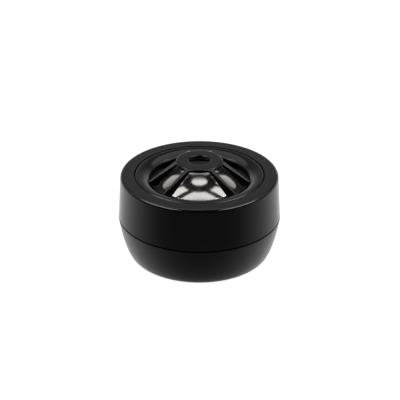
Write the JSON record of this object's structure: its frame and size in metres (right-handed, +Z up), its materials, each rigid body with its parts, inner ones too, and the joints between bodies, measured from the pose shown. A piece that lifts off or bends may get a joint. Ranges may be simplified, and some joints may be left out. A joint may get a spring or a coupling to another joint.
{
  "type": "car tweeter",
  "caption": "Round surface-mount dome tweeter: rounded base cup, twist-lock head and a swivelling capsule whose ribbed cage guards a bright metal dome.",
  "frame": {"origin": "centre of the flat underside that meets the dashboard", "axes": "+Z up out of the mounting surface, towards the listener; -Y is the front of the picture's view; the capsule's tilt axis is Y"},
  "size_m": [0.054, 0.054, 0.0338],
  "materials": {
    "base_plastic": "fine satin grain, moulded",
    "housing_plastic": "fine satin grain, moulded",
    "cage_plastic": "satin face, glossier ribs",
    "inner_plastic": "plain moulded",
    "rubber": "matte",
    "foam": "closed-cell foam",
    "felt": "felt",
    "surround_cloth": "doped cloth",
    "steel": "zinc plated",
    "screw_steel": "plated",
    "magnet_nickel": "nickel plated",
    "board": "phenolic board",
    "tab_brass": "tinned brass",
    "capacitor_film": "wrapped film",
    "tinned_wire": "tinned",
    "copper": "enamelled copper",
    "dome_metal": "bright, lightly satin",
    "former_foil": "foil"
  },
  "bodies": {
    "base": {"base_cup": "base_plastic", "cable_grommet": "rubber", "adhesive_pad": "foam", "seam_seal": "rubber"},
    "head": {"upper_housing": "housing_plastic", "friction_washer": "felt", "retainer_ring": "inner_plastic"},
    "swivel": {"swivel_ring": "inner_plastic"},
    "capsule": {"faceplate": "cage_plastic", "capsule_frame": "inner_plastic", "pivot_pins": "steel", "frame_screws": "screw_steel", "surround": "surround_cloth", "pot_yoke": "steel", "magnet": "magnet_nickel", "pole_plate": "steel", "damping_pad": "felt", "terminal_board": "board", "terminal_positive": "tab_brass", "terminal_negative": "tab_brass", "capacitor": "capacitor_film", "capacitor_leads": "tinned_wire", "tinsel_leads": "copper"},
    "diaphragm": {"dome": "dome_metal", "voice_coil_former": "former_foil", "voice_coil_winding": "copper"}
  },
  "joints": [
    {"name": "head_twist", "type": "hinge", "parent": "base", "child": "head", "pos_m": [0, 0, 0.0138], "axis": [0, 0, 1], "range_deg": [0, 32]},
    {"name": "capsule_turn", "type": "hinge", "parent": "head", "child": "swivel", "pos_m": [0, 0, 0.0231], "axis": [0, 0, 1], "range_deg": [-170, 170]},
    {"name": "capsule_tilt", "type": "hinge", "parent": "swivel", "child": "capsule", "pos_m": [0, 0, 0.0231], "axis": [0, 1, 0], "range_deg": [-12, 12]},
    {"name": "diaphragm_travel", "type": "slide", "parent": "capsule", "child": "diaphragm", "axis": [0, 0, 1], "range_m": [-0.0004, 0.0004], "stiffness_N_per_m": 1500, "deforming": ["surround"]}
  ]
}
